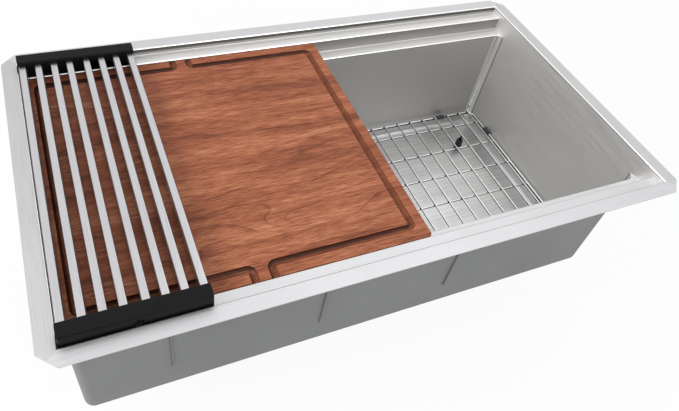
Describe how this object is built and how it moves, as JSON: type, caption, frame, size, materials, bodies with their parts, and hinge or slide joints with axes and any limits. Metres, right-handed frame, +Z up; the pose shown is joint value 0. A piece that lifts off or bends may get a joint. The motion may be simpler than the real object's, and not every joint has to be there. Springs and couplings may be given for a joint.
{
  "type": "workstation kitchen sink",
  "caption": "Undermount workstation kitchen sink with two stepped ledges that carry a sliding cutting board and a folding drying rack, over a deep bowl with bottom grid and drain.",
  "frame": {"origin": "centre of the opening in the plane of the flange's top face", "axes": "+X along the sink to the right, +Y to the rear, +Z up out of the bowl"},
  "size_m": [0.8382, 0.4826, 0.3425],
  "materials": {
    "basin_steel": "satin brushed stainless steel",
    "undercoat": "matt grey sound-deadening coat",
    "pad_rubber": "matt",
    "drain_steel": "polished stainless steel",
    "seal_rubber": "matt",
    "ring_fibre": "pressed fibre",
    "board_wood": "oiled reddish-brown hardwood",
    "rail_plastic": "fine-textured moulding",
    "bar_steel": "brushed along its length",
    "grid_steel": "electropolished stainless wire",
    "grid_rubber": "matt"
  },
  "bodies": {
    "sink": {"front_ledge_rail": "basin_steel", "rear_ledge_rail": "basin_steel", "left_end_wall": "basin_steel", "right_end_wall": "basin_steel", "front_bowl_wall": "basin_steel", "rear_bowl_wall": "basin_steel", "bowl_bottom": "basin_steel", "front_fin_1": "undercoat", "front_fin_2": "undercoat", "front_fin_3": "undercoat", "front_fin_4": "undercoat", "rear_fin_1": "undercoat", "rear_fin_2": "undercoat", "rear_fin_3": "undercoat", "rear_fin_4": "undercoat", "sound_pad_left": "pad_rubber", "sound_pad_right": "pad_rubber", "drain_body": "drain_steel", "drain_tail": "drain_steel", "drain_locknut": "drain_steel", "drain_gasket": "seal_rubber", "drain_friction_ring": "ring_fibre"},
    "rack": {"rack_front_rail_left": "rail_plastic", "rack_rear_rail_left": "rail_plastic", "rack_bar_1": "bar_steel", "rack_bar_2": "bar_steel", "rack_bar_3": "bar_steel", "rack_bar_4": "bar_steel"},
    "rack_wing": {"rack_front_rail_right": "rail_plastic", "rack_rear_rail_right": "rail_plastic", "rack_bar_5": "bar_steel", "rack_bar_6": "bar_steel", "rack_bar_7": "bar_steel", "rack_bar_8": "bar_steel"},
    "board": {"cutting_board": "board_wood"},
    "grid": {"bottom_grid": "grid_steel", "grid_leg_1": "grid_steel", "grid_leg_2": "grid_steel", "grid_leg_3": "grid_steel", "grid_leg_4": "grid_steel", "grid_leg_5": "grid_steel", "grid_leg_6": "grid_steel", "grid_foot_1": "grid_rubber", "grid_foot_2": "grid_rubber", "grid_foot_3": "grid_rubber", "grid_foot_4": "grid_rubber", "grid_foot_5": "grid_rubber", "grid_foot_6": "grid_rubber", "grid_bumper_front_left": "grid_rubber", "grid_bumper_front_right": "grid_rubber", "grid_bumper_rear_left": "grid_rubber", "grid_bumper_rear_right": "grid_rubber", "grid_bumper_left_front": "grid_rubber", "grid_bumper_left_rear": "grid_rubber", "grid_bumper_right_front": "grid_rubber", "grid_bumper_right_rear": "grid_rubber"},
    "basket": {"strainer_basket": "drain_steel", "basket_post": "drain_steel", "basket_stopper": "seal_rubber"}
  },
  "joints": [
    {"name": "rack_slide", "type": "slide", "parent": "sink", "child": "rack", "axis": [1, 0, 0], "range_m": [0, 0.644]},
    {"name": "rack_fold", "type": "hinge", "parent": "rack", "child": "rack_wing", "pos_m": [-0.3222, 0, 0.0146], "axis": [0, -1, 0], "range_deg": [0, 180]},
    {"name": "board_slide", "type": "slide", "parent": "sink", "child": "board", "axis": [1, 0, 0], "range_m": [0, 0.365]},
    {"name": "grid_lift", "type": "slide", "parent": "sink", "child": "grid", "axis": [0, 0, 1], "range_m": [0, 0.16]},
    {"name": "basket_lift", "type": "slide", "parent": "sink", "child": "basket", "axis": [0, 0, 1], "range_m": [0, 0.15]}
  ]
}
